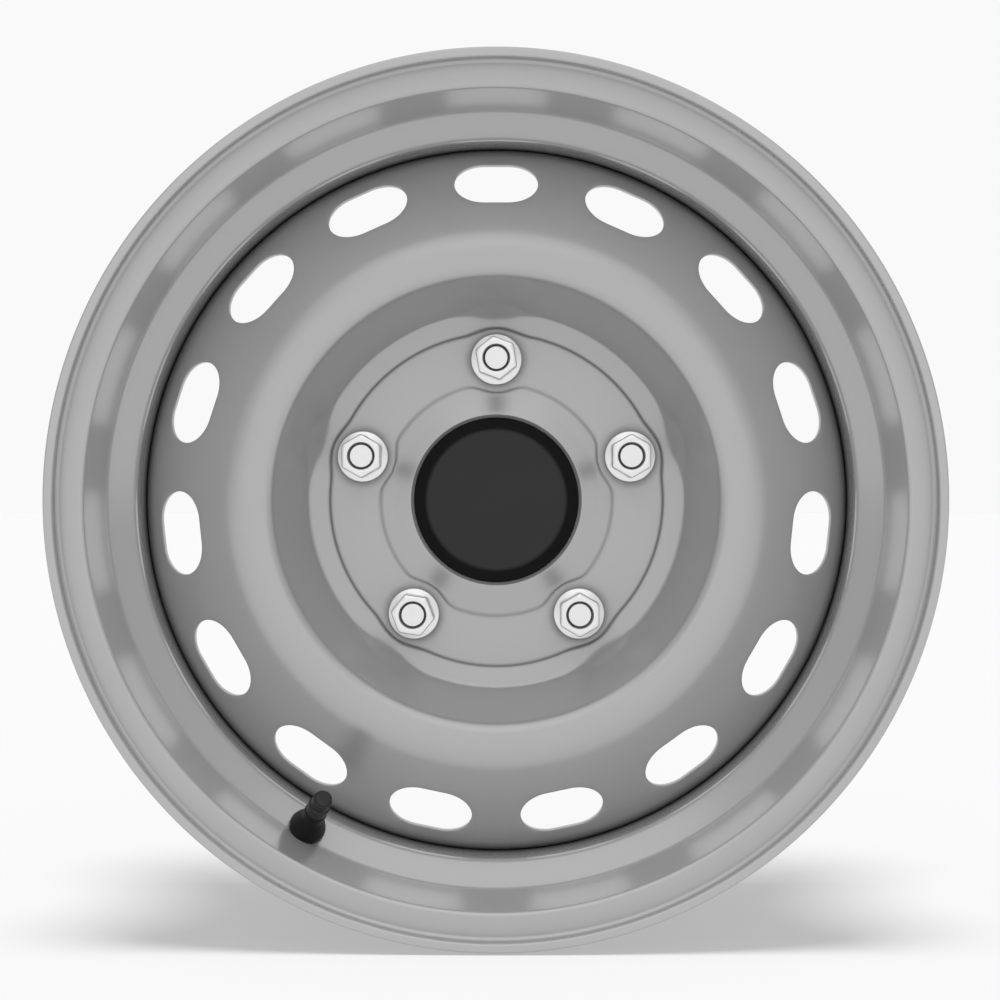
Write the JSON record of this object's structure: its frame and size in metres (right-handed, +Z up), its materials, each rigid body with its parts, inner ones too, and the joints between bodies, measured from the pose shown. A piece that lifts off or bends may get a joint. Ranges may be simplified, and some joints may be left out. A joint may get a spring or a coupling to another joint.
{
  "type": "steel wheel rim",
  "caption": "Pressed steel road wheel: rolled drop-centre rim, welded slotted disc with coned stud holes, flanged nuts on studs, black centre cap and snap-in tyre valve.",
  "frame": {"origin": "centre of the wheel, on its axis at the middle plane of the rim", "axes": "+Y along the wheel's axis towards the hub, so the street side faces -Y; +Z up as the wheel stands; +X to the right seen from the street"},
  "size_m": [0.4146, 0.1794, 0.4144],
  "materials": {
    "wheel_paint": "semi-gloss silver-grey wheel paint",
    "weld_paint": "wheel paint over weld beads",
    "zinc_plate": "bright plated steel",
    "stud_steel": "bright plated steel",
    "black_plastic": "satin black moulding",
    "valve_rubber": "moulded black rubber",
    "valve_brass": "plain brass",
    "spring_steel": "spring wire",
    "cap_plastic": "black moulding",
    "seal_rubber": "red-brown rubber washer"
  },
  "bodies": {
    "wheel": {"rim": "wheel_paint", "wheel_disc": "wheel_paint", "weld_beads": "weld_paint", "lug_nuts": "zinc_plate", "wheel_studs": "stud_steel", "centre_cap": "black_plastic", "valve_body": "valve_rubber", "valve_stem": "valve_brass", "valve_core": "valve_brass", "valve_spring": "spring_steel"},
    "valve_cap": {"valve_cap": "cap_plastic", "valve_cap_seal": "seal_rubber"},
    "valve_pin": {"valve_pin": "valve_brass"}
  },
  "joints": [
    {"name": "valve_cap_slide", "type": "slide", "parent": "wheel", "child": "valve_cap", "axis": [0.3346, -0.7431, 0.5795], "range_m": [0, 0.015]},
    {"name": "valve_pin_press", "type": "slide", "parent": "wheel", "child": "valve_pin", "axis": [-0.3346, 0.7431, -0.5795], "range_m": [0, 0.0015], "stiffness_N_per_m": 400, "springref_m": -0.003, "deforming": ["valve_spring"]}
  ]
}
